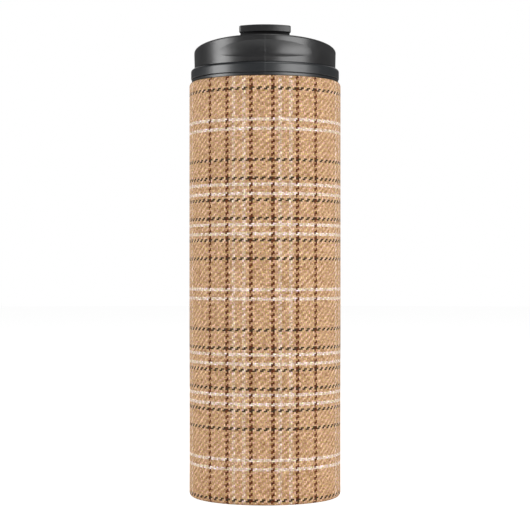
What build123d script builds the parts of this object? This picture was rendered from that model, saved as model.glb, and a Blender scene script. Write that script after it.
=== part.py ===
"""Double-walled vacuum flask with a woven wrap and a screw-in sip lid that has a flip lever.

Frame: millimetres, +Z up, origin on the standing surface at the centre of the base.
The drinking side, with its lip scoop, faces -Y. The lid's rim and deck slope down to the back.
"""

import math
import os

from build123d import *

# ---- flask body: driving dimensions ----
BODY_R = 35.5  # outside of the wrap
WRAP_T = 0.3  # woven wrap
STEEL_T = 0.5  # every steel wall
MOUTH_Z = 193.9  # top of the steel mouth
SHOULDER_R = 1.8  # rolled edge at the mouth
BASE_CORNER_R = 2.0  # rolled edge at the base
STAND_OFF = 0.5  # steel foot ring above the standing surface
LINER_R = 31.2  # inside of the inner vessel
LINER_FLOOR_Z = 8.0
LINER_CORNER_R = 7.5
LINER_WELD_Z = 18.0  # joint between liner wall and liner bottom
BASE_WELD_Z = 4.0  # joint between outer shell and base plate
PAD_R = 27.0
PAD_T = 2.0

# ---- screw thread: two starts, shared by the liner and the plug ----
THREAD_LEAD = 9.0
THREAD_STARTS = 2
THREAD_ROOT_W = 1.8
THREAD_CREST_W = 1.0
THREAD_EMBED = 0.3  # how far a ridge is sunk in its wall
PLUG_RIDGE_R = 30.9
LINER_RIDGE_R = 30.2
PLUG_THREAD_Z = 180.8  # centreline of the plug's ridge at its lower end
PLUG_THREAD_TURNS = 0.6
LINER_THREAD_RISE = 1.7  # liner ridge above the plug ridge at the same angle
LINER_THREAD_LEAD_IN = 40.0  # degrees that the liner ridge starts earlier
LINER_THREAD_TURNS = 0.75

# ---- lid: driving dimensions ----
PLUG_R = 29.3
PLUG_WALL = 1.8
PLUG_FLOOR_Z = 178.0
FLANGE_Z = MOUTH_Z + 0.2
FLANGE_T = 2.0
FLANGE_R = 32.85
GROOVE_Z = (189.9, 193.0)
GROOVE_R = 28.2
COLLAR_R = 34.75
COLLAR_Z = (FLANGE_Z, 200.2)
COLLAR_SHOULDER_R = 1.3
COLLAR_FOOT_R = 0.3
COLLAR_BORE_R = FLANGE_R + 0.1
COLLAR_LIP_R = 34.4  # narrow lip under the grip ring, parted from it by a shadow groove
SHADOW_GROOVE_R = 33.5
SHADOW_GROOVE_Z = (195.1, 195.45)
CAP_Z = 200.45  # underside of the cap's visible wall, just above the collar
CAP_R_LOW = 33.1
CAP_R_HIGH = 33.45
CAP_SKIRT_R = 32.2
CAP_WALL = 1.9
RIM_MID_Z = 208.4  # rim height at the axis
BLANK_TOP_Z = 216.0  # the cap before its rim is cut on the slope
RIM_SLOPE = 0.132  # rise per millimetre towards the drinking side
RIM_EDGE_R = 0.8
DECK_R = 28.5
DECK_DEPTH = 2.5
DECK_T = 2.3
SCOOP_DEPTH = 0.85
SCOOP_VALLEY_Z = 204.8
SCOOP_UPPER_R = 20.5  # gentle curve from the valley up to the rim
SCOOP_LOWER_R = 6.0  # tighter curve from the valley down to the lower lip
SCOOP_HALF_ANGLE = 48.0

# ---- sip hole and vent ----
SIP_V = -21.5  # along the sloping deck, from the axis
SIP_LENGTH = 13.0
SIP_WIDTH = 7.0
SIP_CHAMFER = 1.0
CHANNEL_WALL = 1.5
VENT_V = -7.5
VENT_R = 1.25

# ---- flip lever, in the rim's sloping frame: v towards the back, n above the rim plane ----
HINGE_V = 1.0
HINGE_N = 2.95
PIN_R = 1.0
PIN_EAR_GAP = 0.02
PIN_KNUCKLE_GAP = 0.06
PIN_CHAMFER = 0.2
LEVER_W = 23.4
LEVER_TIP_R = 31.0  # the tip is bowed about the lid's own axis
LEVER_TOP_N = 5.15
COVER_UNDER_N = 1.9
COVER_END_V = -1.6
LEVER_UNDER_N = -2.2
LEVER_LOW_R = 27.9  # outline of the part that sits down inside the rim
NECK_V = -28.1
NECK_W = 22.4
NECK_N = 0.2  # underside of the neck, just over the rim
KNUCKLE_R = LEVER_TOP_N - HINGE_N
EAR_GAP = 0.35
EAR_T = 3.0

SHELL_R = BODY_R - WRAP_T
rim_plane = Plane(origin=(0, 0, RIM_MID_Z), x_dir=(1, 0, 0), z_dir=(0, RIM_SLOPE, 1))


def sloping(v=0.0, n=0.0):
    """The rim's plane, moved v along the slope and n above it."""
    return Plane(rim_plane.from_local_coords((0, v, n)), x_dir=rim_plane.x_dir, z_dir=rim_plane.z_dir)


def across(x=0.0):
    """A plane square to X at x, whose own x runs along the slope and whose own y is the rim's normal."""
    return Plane(origin=rim_plane.origin + Vector(x, 0, 0), x_dir=rim_plane.y_dir, z_dir=(1, 0, 0))


def thread_ridge(root_r, crest_r, z_start, start_deg, turns):
    """One helical ridge from root_r to crest_r, whose centreline starts at z_start and start_deg."""
    with BuildPart() as ridge:
        with BuildLine() as path:
            Helix(pitch=THREAD_LEAD, height=THREAD_LEAD * turns, radius=root_r)
        profile_plane = Plane(origin=path.line @ 0, x_dir=(1, 0, 0), z_dir=path.line % 0)
        with BuildSketch(profile_plane):
            Polygon(
                (0, -THREAD_ROOT_W / 2),
                (crest_r - root_r, -THREAD_CREST_W / 2),
                (crest_r - root_r, THREAD_CREST_W / 2),
                (0, THREAD_ROOT_W / 2),
                align=None,
            )
        sweep(path=path.line, is_frenet=True)
    return ridge.part.moved(Location((0, 0, z_start), (0, 0, start_deg)))


os.makedirs("parts", exist_ok=True)

# ================= flask body =================

# Woven wrap: glued round the shell, right round its base corner and part of the way round the mouth's.
with BuildPart() as wrap:
    with BuildSketch(Plane.XZ):
        with BuildLine():
            corner_r = BASE_CORNER_R - WRAP_T
            low = (SHELL_R, STAND_OFF + corner_r)
            high = (SHELL_R, MOUTH_Z - SHOULDER_R)
            CenterArc((SHELL_R - corner_r, low[1]), corner_r, 270, 90)
            Line(low, high)
            CenterArc((SHELL_R - SHOULDER_R, high[1]), SHOULDER_R, 0, 60)
            offset(amount=WRAP_T, side=Side.RIGHT)
        make_face()
    revolve(axis=Axis.Z)
wrap.part.label = "woven_wrap"
export_step(wrap.part, "parts/woven_wrap.step")

# Outer steel shell, rolled inwards at the mouth, where it is welded to the liner.
with BuildPart() as outer_shell:
    with BuildSketch(Plane.XZ):
        with BuildLine():
            FilletPolyline(
                (SHELL_R, BASE_WELD_Z),
                (SHELL_R, MOUTH_Z),
                (LINER_R + STEEL_T, MOUTH_Z),
                radius=SHOULDER_R,
            )
            offset(amount=STEEL_T, side=Side.LEFT)
        make_face()
    revolve(axis=Axis.Z)
outer_shell.part.label = "outer_shell"
export_step(outer_shell.part, "parts/outer_shell.step")

# Base plate: rolled corner, foot ring, and a raised floor that the pad is glued under.
# The dimple in the middle holds the evacuation hole.
DIMPLE_R = 6.0
DIMPLE_RISE = 1.0
DIMPLE_DRAFT = 0.8
EVACUATION_R = 1.0
PAD_GAP = 0.3  # between the pad's rim and the foot ring
RING_DRAFT = 0.6
PRESS_R = 0.3  # every small bend of the pressing
with BuildPart() as base_plate:
    with BuildSketch(Plane.XZ):
        with BuildLine():
            FilletPolyline(
                (SHELL_R, BASE_WELD_Z),
                (SHELL_R, STAND_OFF),
                (PAD_R + PAD_GAP + RING_DRAFT, STAND_OFF),
                (PAD_R + PAD_GAP, PAD_T),
                (DIMPLE_R, PAD_T),
                (DIMPLE_R - DIMPLE_DRAFT, PAD_T + DIMPLE_RISE),
                (EVACUATION_R, PAD_T + DIMPLE_RISE),
                radius=(BASE_CORNER_R - WRAP_T, PRESS_R, PRESS_R, PRESS_R, PRESS_R),
            )
            offset(amount=STEEL_T, side=Side.RIGHT)
        make_face()
    revolve(axis=Axis.Z)
base_plate.part.label = "base_plate"
export_step(base_plate.part, "parts/base_plate.step")

# Solder-glass bead that closes the evacuation hole from below: a cap of a sphere.
BEAD_R = 2.4
BEAD_H = 0.8
with BuildPart() as seal_bead:
    with BuildSketch(Plane.XZ):
        with BuildLine():
            bead_top = PAD_T + DIMPLE_RISE
            Line((0, bead_top), (BEAD_R, bead_top))
            RadiusArc((BEAD_R, bead_top), (0, bead_top - BEAD_H), (BEAD_R**2 + BEAD_H**2) / (2 * BEAD_H))
            Line((0, bead_top - BEAD_H), (0, bead_top))
        make_face()
    revolve(axis=Axis.Z)
seal_bead.part.label = "seal_bead"
export_step(seal_bead.part, "parts/seal_bead.step")

# Getter pellet on the base plate, inside the vacuum, and the strap that holds it.
GETTER_X = 15.0
GETTER_R = 4.0
GETTER_H = 2.2
GETTER_CHAMFER = 0.3
getter_floor = PAD_T + STEEL_T
with BuildPart() as getter:
    with BuildSketch(Plane.XY.offset(getter_floor)):
        with Locations((GETTER_X, 0)):
            Circle(GETTER_R)
    extrude(amount=GETTER_H)
    chamfer(getter.faces().sort_by(Axis.Z)[-1].edges(), GETTER_CHAMFER)
getter.part.label = "getter_pellet"
export_step(getter.part, "parts/getter_pellet.step")

STRAP_W = 3.0
STRAP_T = 0.4
STRAP_FOOT = 4.0  # from the pellet's side to the end of the strap
STRAP_GAP = 0.3
STRAP_BEND_R = 0.25
with BuildPart() as getter_strap:
    with BuildSketch(Plane.YZ.offset(GETTER_X - STRAP_W / 2)):
        with BuildLine():
            foot, reach, top = GETTER_R + STRAP_FOOT, GETTER_R + STRAP_GAP, getter_floor + GETTER_H
            FilletPolyline(
                (-foot, getter_floor),
                (-reach, getter_floor),
                (-reach, top),
                (reach, top),
                (reach, getter_floor),
                (foot, getter_floor),
                radius=STRAP_BEND_R,
            )
            offset(amount=STRAP_T, side=Side.LEFT)
        make_face()
    extrude(amount=STRAP_W)
getter_strap.part.label = "getter_strap"
export_step(getter_strap.part, "parts/getter_strap.step")

# Rubber pad that the flask stands on.
PAD_EDGE_R = 0.5
with BuildPart() as foot_pad:
    Cylinder(PAD_R, PAD_T, align=(Align.CENTER, Align.CENTER, Align.MIN))
    fillet(foot_pad.faces().sort_by(Axis.Z)[0].edges(), PAD_EDGE_R)
foot_pad.part.label = "foot_pad"
export_step(foot_pad.part, "parts/foot_pad.step")

# Inner vessel: a wall with the rolled-in thread, welded to a deep-drawn bottom.
with BuildPart() as liner_wall:
    with BuildSketch(Plane.XY.offset(LINER_WELD_Z)):
        Circle(LINER_R + STEEL_T)
        Circle(LINER_R, mode=Mode.SUBTRACT)
    extrude(amount=MOUTH_Z - LINER_WELD_Z)
    for start in range(THREAD_STARTS):
        add(
            thread_ridge(
                LINER_R + THREAD_EMBED,
                LINER_RIDGE_R,
                PLUG_THREAD_Z + LINER_THREAD_RISE - THREAD_LEAD * LINER_THREAD_LEAD_IN / 360,
                start * 360 / THREAD_STARTS - LINER_THREAD_LEAD_IN,
                LINER_THREAD_TURNS,
            )
        )
liner_wall.part.label = "liner_wall"
export_step(liner_wall.part, "parts/liner_wall.step")

with BuildPart() as liner_bottom:
    with BuildSketch(Plane.XZ):
        with BuildLine():
            FilletPolyline(
                (LINER_R, LINER_WELD_Z),
                (LINER_R, LINER_FLOOR_Z),
                (0, LINER_FLOOR_Z),
                radius=LINER_CORNER_R,
            )
            offset(amount=STEEL_T, side=Side.LEFT)
        make_face()
    revolve(axis=Axis.Z)
liner_bottom.part.label = "liner_bottom"
export_step(liner_bottom.part, "parts/liner_bottom.step")

# Foil round the liner, which keeps radiated heat in.
FOIL_GAP = 0.3
FOIL_R = LINER_R + STEEL_T + FOIL_GAP
FOIL_T = 0.15
FOIL_Z = (22.0, 176.0)
with BuildPart() as foil_shield:
    with BuildSketch(Plane.XY.offset(FOIL_Z[0])):
        Circle(FOIL_R + FOIL_T)
        Circle(FOIL_R, mode=Mode.SUBTRACT)
    extrude(amount=FOIL_Z[1] - FOIL_Z[0])
foil_shield.part.label = "foil_shield"
export_step(foil_shield.part, "parts/foil_shield.step")

# ================= lid =================

# Lip gasket in the plug's groove: a ring with two fins that wipe the mouth.
FIN_R = LINER_R - 0.12
FIN_TIP = 0.4  # height of a fin's outer edge
FIN_RISE = 0.35  # slope above and below it
GASKET_ROOT_R = PLUG_R + 0.35
GASKET_END_GAP = 0.15
GASKET_BORE_GAP = 0.1
with BuildPart() as gasket:
    with BuildSketch(Plane.XZ):
        with BuildLine():
            inner = GROOVE_R + GASKET_BORE_GAP
            low, high = GROOVE_Z[0] + GASKET_END_GAP, GROOVE_Z[1] - GASKET_END_GAP
            Polyline(
                (inner, low),
                (GASKET_ROOT_R, low),
                (FIN_R, low + FIN_RISE),
                (FIN_R, low + FIN_RISE + FIN_TIP),
                (GASKET_ROOT_R, low + 2 * FIN_RISE + FIN_TIP),
                (GASKET_ROOT_R, high - 2 * FIN_RISE - FIN_TIP),
                (FIN_R, high - FIN_RISE - FIN_TIP),
                (FIN_R, high - FIN_RISE),
                (GASKET_ROOT_R, high),
                (inner, high),
                close=True,
            )
        make_face()
    revolve(axis=Axis.Z)
gasket.part.label = "lid_gasket"
export_step(gasket.part, "parts/lid_gasket.step")

# Where the sip hole and the vent stand in the horizontal frame.
sip_centre = sloping(SIP_V, -DECK_DEPTH - SIP_CHAMFER).origin.Y
vent_centre = sloping(VENT_V, -DECK_DEPTH).origin.Y
PLUG_VENT_WALL = 1.5
PLUG_CHAMFER = 0.8
GROOVE_BACKING = 1.0  # extra wall inside the gasket groove

# Everything above the underside of the deck, for cutting the tubes that rise to it.
with BuildPart() as above_deck:
    with BuildSketch(sloping(0, -DECK_DEPTH - DECK_T)):
        Circle(2 * CAP_R_HIGH)
    extrude(amount=CAP_R_HIGH)

# Screw plug: threaded cup with a flange, closed by its floor. Its inside is the lid's air space.
with BuildPart() as lid_plug:
    with BuildSketch(Plane.XZ):
        with BuildLine():
            bore = PLUG_R - PLUG_WALL
            flange_top = FLANGE_Z + FLANGE_T
            Polyline(
                (0, PLUG_FLOOR_Z),
                (PLUG_R - PLUG_CHAMFER, PLUG_FLOOR_Z),
                (PLUG_R, PLUG_FLOOR_Z + PLUG_CHAMFER),
                (PLUG_R, GROOVE_Z[0]),
                (GROOVE_R, GROOVE_Z[0]),
                (GROOVE_R, GROOVE_Z[1]),
                (PLUG_R, GROOVE_Z[1]),
                (PLUG_R, FLANGE_Z),
                (FLANGE_R, FLANGE_Z),
                (FLANGE_R, flange_top),
                (bore - GROOVE_BACKING, flange_top),
                (bore - GROOVE_BACKING, GROOVE_Z[0] - GROOVE_BACKING),
                (bore, GROOVE_Z[0] - 2 * GROOVE_BACKING),
                (bore, PLUG_FLOOR_Z + PLUG_WALL),
                (0, PLUG_FLOOR_Z + PLUG_WALL),
                close=True,
            )
        make_face()
    revolve(axis=Axis.Z)
    with BuildSketch(Plane.XY.offset(PLUG_FLOOR_Z)):
        with Locations((0, vent_centre)):
            Circle(VENT_R + PLUG_VENT_WALL)
    extrude(amount=RIM_MID_Z - PLUG_FLOOR_Z)
    add(above_deck.part, mode=Mode.SUBTRACT)
    with BuildSketch(Plane.XY.offset(PLUG_FLOOR_Z)):
        with Locations((0, vent_centre)):
            Circle(VENT_R)
        with Locations((0, sip_centre)):
            SlotOverall(SIP_LENGTH + 2 * CHANNEL_WALL, SIP_WIDTH + 2 * CHANNEL_WALL)
    extrude(amount=RIM_MID_Z - PLUG_FLOOR_Z, mode=Mode.SUBTRACT)
    for start in range(THREAD_STARTS):
        add(
            thread_ridge(
                PLUG_R - THREAD_EMBED,
                PLUG_RIDGE_R,
                PLUG_THREAD_Z,
                start * 360 / THREAD_STARTS,
                PLUG_THREAD_TURNS,
            )
        )
lid_plug.part.label = "lid_plug"
export_step(lid_plug.part, "parts/lid_plug.step")

# Drink channel: an oval tube pressed into the plug's floor, which rises to the deck's sip hole.
with BuildPart() as drink_channel:
    with BuildSketch(Plane.XY.offset(PLUG_FLOOR_Z)):
        with Locations((0, sip_centre)):
            SlotOverall(SIP_LENGTH + 2 * CHANNEL_WALL, SIP_WIDTH + 2 * CHANNEL_WALL)
            SlotOverall(SIP_LENGTH, SIP_WIDTH, mode=Mode.SUBTRACT)
    extrude(amount=RIM_MID_Z - PLUG_FLOOR_Z)
    add(above_deck.part, mode=Mode.SUBTRACT)
drink_channel.part.label = "drink_channel"
export_step(drink_channel.part, "parts/drink_channel.step")

# Collar: the grip ring between the body and the cap.
with BuildPart() as collar:
    with BuildSketch(Plane.XZ):
        with BuildLine():
            Polyline(
                (COLLAR_BORE_R, COLLAR_Z[0]),
                (COLLAR_LIP_R, COLLAR_Z[0]),
                (COLLAR_LIP_R, SHADOW_GROOVE_Z[0]),
                (SHADOW_GROOVE_R, SHADOW_GROOVE_Z[0]),
                (SHADOW_GROOVE_R, SHADOW_GROOVE_Z[1]),
                (COLLAR_R, SHADOW_GROOVE_Z[1]),
                (COLLAR_R, COLLAR_Z[1]),
                (COLLAR_BORE_R, COLLAR_Z[1]),
                close=True,
            )
        make_face()
    revolve(axis=Axis.Z)
    outer_edges = collar.edges().filter_by(GeomType.CIRCLE).group_by(lambda edge: edge.radius)[-1]
    fillet(outer_edges.sort_by(Axis.Z)[-1], COLLAR_SHOULDER_R)
    outer_edges = collar.edges().filter_by(GeomType.CIRCLE).group_by(lambda edge: edge.radius)[-1]
    fillet(outer_edges.sort_by(Axis.Z)[0], COLLAR_FOOT_R)
collar.part.label = "lid_collar"
export_step(collar.part, "parts/lid_collar.step")


def scoop_cutter(grow):
    """The lip scoop's cutter: a shallow groove turned about an axis behind the lid's, grown by a wall."""
    tip_x = CAP_R_HIGH * math.sin(math.radians(SCOOP_HALF_ANGLE))
    tip_y = CAP_R_HIGH * math.cos(math.radians(SCOOP_HALF_ANGLE))
    sagitta = CAP_R_HIGH - SCOOP_DEPTH - tip_y
    valley_r = (tip_x**2 + sagitta**2) / (2 * sagitta)
    axis_y = valley_r - (CAP_R_HIGH - SCOOP_DEPTH)
    upper_x, lower_x = valley_r + SCOOP_UPPER_R, valley_r + SCOOP_LOWER_R
    with BuildPart() as cutter:
        with BuildSketch(Plane.XZ.offset(-axis_y)):
            with BuildLine():
                upper = CenterArc((upper_x, SCOOP_VALLEY_Z), SCOOP_UPPER_R + grow, 90, 90)
                lower = CenterArc((lower_x, SCOOP_VALLEY_Z), SCOOP_LOWER_R + grow, 180, 90)
                Polyline(lower @ 1, (upper_x, (lower @ 1).Y), upper @ 0)
            make_face()
        revolve(axis=Axis((0, axis_y, 0), (0, 0, 1)))
    return cutter.part


# Air space under the deck, kept a wall away from the scoop.
with BuildPart() as cap_cavity:
    with BuildSketch(Plane.XY.offset(FLANGE_Z + FLANGE_T)):
        Circle(CAP_R_LOW - CAP_WALL)
    extrude(amount=RIM_MID_Z - FLANGE_Z)
    add(above_deck.part, mode=Mode.SUBTRACT)
    add(scoop_cutter(CAP_WALL), mode=Mode.SUBTRACT)

# Cap: the sloping upper moulding with rim, deck, lip scoop, hinge ears, sip hole and vent.
with BuildPart() as lid_cap:
    with BuildSketch(Plane.XZ):
        with BuildLine():
            Polyline(
                (0, FLANGE_Z + FLANGE_T),
                (CAP_SKIRT_R, FLANGE_Z + FLANGE_T),
                (CAP_SKIRT_R, CAP_Z),
                (CAP_R_LOW, CAP_Z),
                (CAP_R_HIGH, BLANK_TOP_Z),
                (0, BLANK_TOP_Z),
                close=True,
            )
        make_face()
    revolve(axis=Axis.Z)
    split(bisect_by=rim_plane, keep=Keep.BOTTOM)
    with BuildSketch(rim_plane):
        Circle(DECK_R)
    extrude(amount=-DECK_DEPTH, mode=Mode.SUBTRACT)
    rim_face = lid_cap.faces().filter_by(
        lambda face: abs((face.center() - rim_plane.origin).dot(rim_plane.z_dir)) < 0.01
    )
    fillet(rim_face.edges(), RIM_EDGE_R)
    add(scoop_cutter(0.0), mode=Mode.SUBTRACT)
    add(cap_cavity.part, mode=Mode.SUBTRACT)
    for side in (-1, 1):
        ear_x = side * (LEVER_W / 2 + EAR_GAP + EAR_T / 2)
        with BuildSketch(across(ear_x - EAR_T / 2)):
            with Locations((HINGE_V, HINGE_N)):
                Circle(KNUCKLE_R)
            with Locations((HINGE_V, (HINGE_N - DECK_DEPTH) / 2)):
                Rectangle(2 * KNUCKLE_R, HINGE_N + DECK_DEPTH)
        extrude(amount=EAR_T)
    with BuildSketch(across(0)):
        with Locations((HINGE_V, HINGE_N)):
            Circle(PIN_R + PIN_EAR_GAP)
    extrude(amount=LEVER_W, both=True, mode=Mode.SUBTRACT)
    with BuildSketch(Plane.XY.offset(FLANGE_Z)):
        with Locations((0, sip_centre)):
            SlotOverall(SIP_LENGTH, SIP_WIDTH)
        with Locations((0, vent_centre)):
            Circle(VENT_R)
    extrude(amount=BLANK_TOP_Z - FLANGE_Z, mode=Mode.SUBTRACT)
    with BuildSketch(sloping(SIP_V, -DECK_DEPTH)):
        SlotOverall(SIP_LENGTH + 2 * SIP_CHAMFER, SIP_WIDTH + 2 * SIP_CHAMFER)
    extrude(amount=-2 * SIP_CHAMFER, taper=45, mode=Mode.SUBTRACT)
lid_cap.part.label = "lid_cap"
export_step(lid_cap.part, "parts/lid_cap.step")

# Steel pin through the ears and the lever's knuckle.
with BuildPart() as hinge_pin:
    with BuildSketch(across(0)):
        with Locations((HINGE_V, HINGE_N)):
            Circle(PIN_R)
    extrude(amount=LEVER_W / 2 + EAR_GAP + EAR_T - PIN_CHAMFER, both=True)
    chamfer(hinge_pin.edges().filter_by(GeomType.CIRCLE), PIN_CHAMFER)
hinge_pin.part.label = "hinge_pin"
export_step(hinge_pin.part, "parts/hinge_pin.step")

# ================= flip lever =================

# Cover: the top plate, whose tip overhangs the neck so that a finger can lift it.
TIP_CORNER_R = 1.0
COVER_TOP_R = 0.6
COVER_UNDER_R = 0.4
TIP_V = -27.7  # the wide tip narrows from here to the neck's width
NECK_WIDTH_V = -25.7
with BuildPart() as lever_cover:
    with BuildSketch(sloping(0, COVER_UNDER_N)):
        with BuildLine():
            Polyline(
                (0, -LEVER_TIP_R),
                (LEVER_W / 2, -LEVER_TIP_R),
                (LEVER_W / 2, TIP_V),
                (NECK_W / 2, NECK_WIDTH_V),
                (NECK_W / 2, COVER_END_V),
                (0, COVER_END_V),
            )
            mirror(about=Plane.YZ)
        make_face()
        Circle(LEVER_TIP_R, mode=Mode.INTERSECT)
    extrude(amount=LEVER_TOP_N - COVER_UNDER_N)
    rim_normal = Axis(rim_plane.origin, rim_plane.z_dir)
    fillet(lever_cover.edges().filter_by(rim_normal).sort_by(Axis.Y)[:2], TIP_CORNER_R)
    fillet(lever_cover.faces().sort_by(rim_normal)[-1].edges().sort_by(Axis.Y)[:-1], COVER_TOP_R)
    fillet(lever_cover.faces().sort_by(rim_normal)[0].edges().sort_by(Axis.Y)[:-1], COVER_UNDER_R)
lever_cover.part.label = "lever_cover"
export_step(lever_cover.part, "parts/lever_cover.step")

# Body: neck, knuckle and seal carrier, with two moulding pockets underneath.
SEAL_STEM_R = 1.5
SEAL_STEM_H = 2.8
VENT_SEAL_R = 2.4
VENT_SEAL_DEPTH = 1.0
SOCKET_GAP = 0.05
NECK_CORNER_R = 1.2
POCKET_DEPTH = 2.0
POCKET_CORNER_R = 0.8
FRONT_POCKET = (NECK_W - 4.0, 4.6)
FRONT_POCKET_V = (SIP_V + VENT_V) / 2 + 0.6
SIDE_POCKET = (4.0, 5.0)
SIDE_POCKET_X = 7.0
with BuildPart() as lever_body:
    with BuildSketch(across(-NECK_W / 2)):
        with BuildLine():
            Polyline(
                (NECK_V, COVER_UNDER_N),
                (NECK_V, NECK_N),
                (-LEVER_LOW_R, NECK_N),
                (-LEVER_LOW_R, LEVER_UNDER_N),
                (HINGE_V, LEVER_UNDER_N),
                (HINGE_V + KNUCKLE_R, HINGE_N),
                (HINGE_V, LEVER_TOP_N),
                (COVER_END_V, LEVER_TOP_N),
                (COVER_END_V, COVER_UNDER_N),
                close=True,
            )
        make_face()
        with Locations((HINGE_V, HINGE_N)):
            Circle(KNUCKLE_R)
    extrude(amount=NECK_W)
    with BuildSketch(sloping(0, NECK_N)):
        Circle(2 * LEVER_LOW_R)
        Circle(LEVER_LOW_R, mode=Mode.SUBTRACT)
    extrude(amount=2 * LEVER_UNDER_N, mode=Mode.SUBTRACT)
    fillet(lever_body.faces().sort_by(Axis.Y)[0].edges().filter_by(rim_normal), NECK_CORNER_R)
    with BuildSketch(across(0)):
        with Locations((HINGE_V, HINGE_N)):
            Circle(PIN_R + PIN_KNUCKLE_GAP)
    extrude(amount=LEVER_W, both=True, mode=Mode.SUBTRACT)
    with BuildSketch(sloping(0, LEVER_UNDER_N)):
        with Locations((0, SIP_V)):
            Circle(SEAL_STEM_R + SOCKET_GAP)
    extrude(amount=SEAL_STEM_H + 0.2, mode=Mode.SUBTRACT)
    with BuildSketch(sloping(0, LEVER_UNDER_N)):
        with Locations((0, VENT_V)):
            Circle(VENT_SEAL_R + SOCKET_GAP)
    extrude(amount=VENT_SEAL_DEPTH, mode=Mode.SUBTRACT)
    with BuildSketch(sloping(0, LEVER_UNDER_N)):
        with Locations((0, FRONT_POCKET_V)):
            RectangleRounded(*FRONT_POCKET, POCKET_CORNER_R)
        with Locations((-SIDE_POCKET_X, VENT_V), (SIDE_POCKET_X, VENT_V)):
            RectangleRounded(*SIDE_POCKET, POCKET_CORNER_R)
    extrude(amount=POCKET_DEPTH, mode=Mode.SUBTRACT)
lever_body.part.label = "lever_body"
export_step(lever_body.part, "parts/lever_body.step")

# Silicone sip seal: an oval plug that fits the hole's chamfer, with a stem pressed up into the lever.
SEAL_GAP = 0.1
SEAL_DEPTH = 1.6
with BuildPart() as sip_seal:
    grow = 2 * (SIP_CHAMFER + LEVER_UNDER_N + DECK_DEPTH - SEAL_GAP * math.sqrt(2))
    with BuildSketch(sloping(SIP_V, LEVER_UNDER_N)):
        SlotOverall(SIP_LENGTH + grow, SIP_WIDTH + grow)
    extrude(amount=-SEAL_DEPTH, taper=45)
    with BuildSketch(sloping(SIP_V, LEVER_UNDER_N)):
        Circle(SEAL_STEM_R)
    extrude(amount=SEAL_STEM_H)
sip_seal.part.label = "sip_seal"
export_step(sip_seal.part, "parts/sip_seal.step")

# Silicone vent seal: a flat button in its pocket, just clear of the deck.
VENT_SEAL_GAP = 0.12
with BuildPart() as vent_seal:
    with BuildSketch(sloping(VENT_V, LEVER_UNDER_N + VENT_SEAL_DEPTH)):
        Circle(VENT_SEAL_R)
    extrude(amount=VENT_SEAL_GAP - VENT_SEAL_DEPTH - (LEVER_UNDER_N + DECK_DEPTH))
vent_seal.part.label = "vent_seal"
export_step(vent_seal.part, "parts/vent_seal.step")
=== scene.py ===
import math

import bmesh
import bpy
from bpy.props import FloatProperty, FloatVectorProperty, IntProperty, PointerProperty
from bpy.types import Operator, Panel, PropertyGroup
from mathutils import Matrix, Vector


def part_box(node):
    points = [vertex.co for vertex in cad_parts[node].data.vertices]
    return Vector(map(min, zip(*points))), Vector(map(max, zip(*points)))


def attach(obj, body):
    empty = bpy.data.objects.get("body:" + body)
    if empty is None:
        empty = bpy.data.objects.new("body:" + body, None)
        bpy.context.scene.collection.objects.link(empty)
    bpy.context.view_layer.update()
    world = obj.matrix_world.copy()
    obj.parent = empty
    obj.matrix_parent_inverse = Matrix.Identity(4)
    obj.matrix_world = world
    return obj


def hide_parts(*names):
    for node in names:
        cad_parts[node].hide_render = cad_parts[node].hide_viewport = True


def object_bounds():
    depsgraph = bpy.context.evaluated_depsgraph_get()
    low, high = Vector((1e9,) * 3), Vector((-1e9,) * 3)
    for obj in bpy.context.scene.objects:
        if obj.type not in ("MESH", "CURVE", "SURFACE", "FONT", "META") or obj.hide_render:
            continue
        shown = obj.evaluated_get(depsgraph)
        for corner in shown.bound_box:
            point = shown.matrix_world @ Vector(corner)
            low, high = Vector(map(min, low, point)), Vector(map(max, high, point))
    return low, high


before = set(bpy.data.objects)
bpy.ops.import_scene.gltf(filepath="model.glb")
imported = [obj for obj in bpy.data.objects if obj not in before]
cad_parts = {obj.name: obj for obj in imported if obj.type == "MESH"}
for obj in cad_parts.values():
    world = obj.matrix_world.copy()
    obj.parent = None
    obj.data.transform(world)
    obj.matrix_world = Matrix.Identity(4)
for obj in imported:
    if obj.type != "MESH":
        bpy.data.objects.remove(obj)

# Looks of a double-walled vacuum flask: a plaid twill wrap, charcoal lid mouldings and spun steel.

bl_info = {
    "name": "Vacuum Flask Looks",
    "version": (1, 0, 0),
    "blender": (4, 5, 0),
    "location": "View3D > Sidebar > Flask",
    "description": "Wraps, finishes and lights a double-walled vacuum flask with a flip-lever sip lid",
    "category": "Object",
}

MM = 0.001
CAD_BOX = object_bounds()
WRAP_LOW, WRAP_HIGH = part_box("woven_wrap")
SHELL_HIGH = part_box("outer_shell")[1]
CAP_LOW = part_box("lid_cap")[0]
WRAP_THICKNESS = WRAP_HIGH.x - SHELL_HIGH.x
BASE_ROWS, WALL_ROWS, MOUTH_ROWS = 12, 48, 8

# Twill: how many yarns a yarn passes over and then under, how round it is and how far it arches.
TWILL_OVER = 2.0
YARN_ROUNDNESS = 0.6
YARN_ARCH = 0.55
# Plaid: the middle of each stripe in yarns from the mirror line, and whether it is a cream one.
SETT_STRIPES = ((6, False), (10, True), (16, True), (20, False), (32, False), (52, True))
STRIPE_HALF_WIDTH = 1
# A stripe's kind rides in its ramp's alpha, beside its colour.
GROUND_MARK, STRIPE_MARK, LIGHT_MARK = 0.0, 0.5, 1.0
# What multiplies the yarns' colours: dark and pale lengths of yarn, pinkish and straw-coloured dye.
DARK_LENGTH, PALE_LENGTH = (0.58, 0.48, 0.36), (1.42, 1.50, 1.64)
PINK_DYE, STRAW_DYE = (1.08, 0.94, 1.42), (0.93, 1.05, 0.60)

# Depth of the grain on the outer and on the hidden mouldings.
FINE_GRAIN, COARSE_GRAIN = 0.012 * MM, 0.02 * MM
# The parting line is drawn from this share of the cap's reach outwards.
PARTING_REACH = 0.88
PARTING_SHADE = 0.2
FOOT_RING_PITCH = 1.6 * MM
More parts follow.
